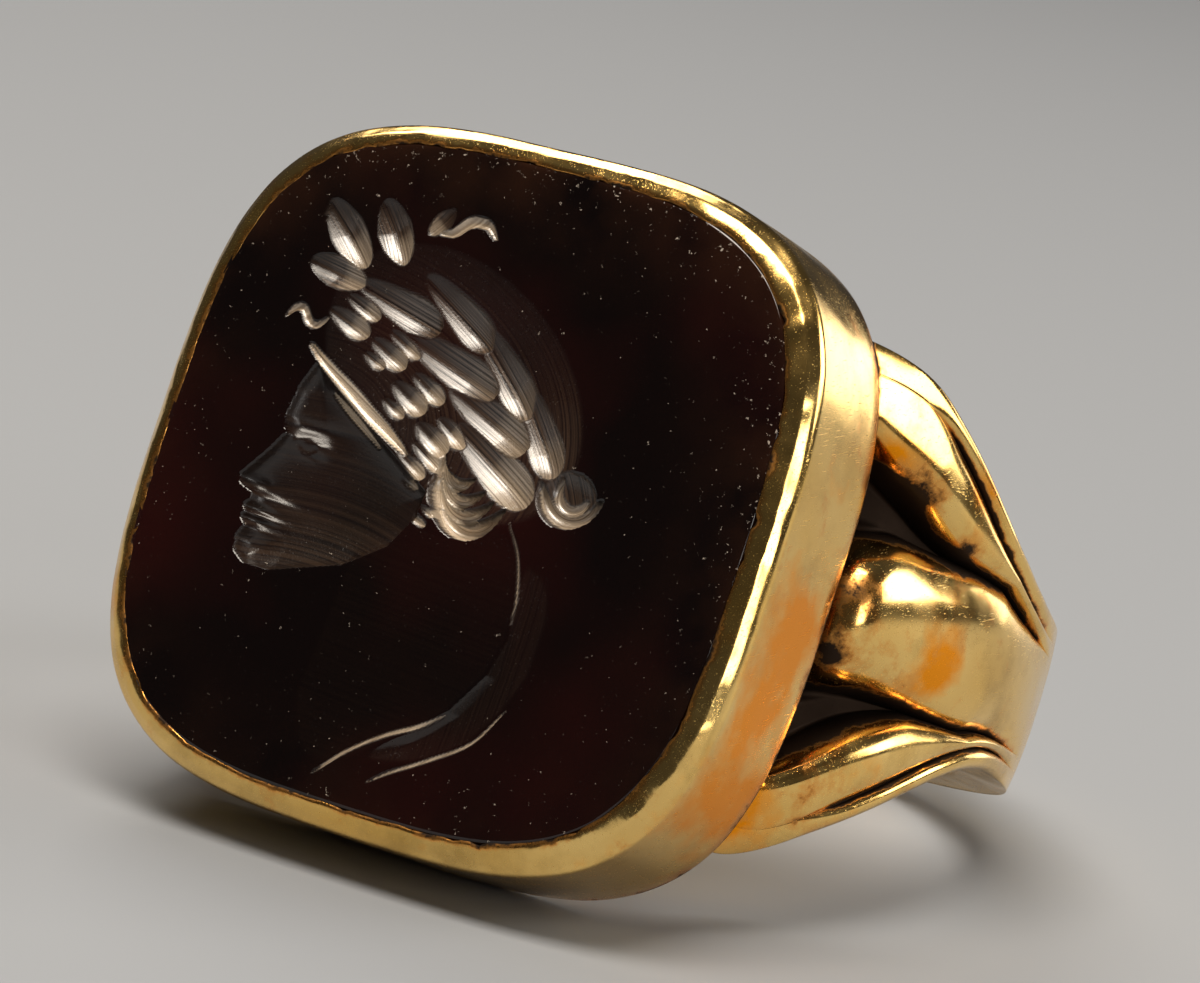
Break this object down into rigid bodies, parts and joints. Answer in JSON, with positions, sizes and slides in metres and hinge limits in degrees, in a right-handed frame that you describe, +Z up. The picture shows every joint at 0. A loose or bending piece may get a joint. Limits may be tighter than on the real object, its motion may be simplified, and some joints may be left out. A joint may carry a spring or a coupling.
{
  "type": "intaglio signet ring",
  "caption": "Gold signet ring with fluted shoulders and a cushion-shaped dark red stone engraved with a wreathed head in profile, lying on its side.",
  "frame": {"origin": "centre of the ring's box on the surface that it lies on", "axes": "+Z up from the surface; the stone faces -Y and leans back, looking slightly up; the finger hole runs along Z, tilted by the rest pose towards +Y; +X is the wearer-side width across the finger"},
  "size_m": [0.0226, 0.0264, 0.0184],
  "materials": {
    "gold": "polished yellow gold, worn, with dark oxide in the grooves",
    "stone": "polished table with satin-grey engraving"
  },
  "bodies": {
    "root": {"gold_ring": "gold", "intaglio_stone": "stone"}
  },
  "joints": []
}
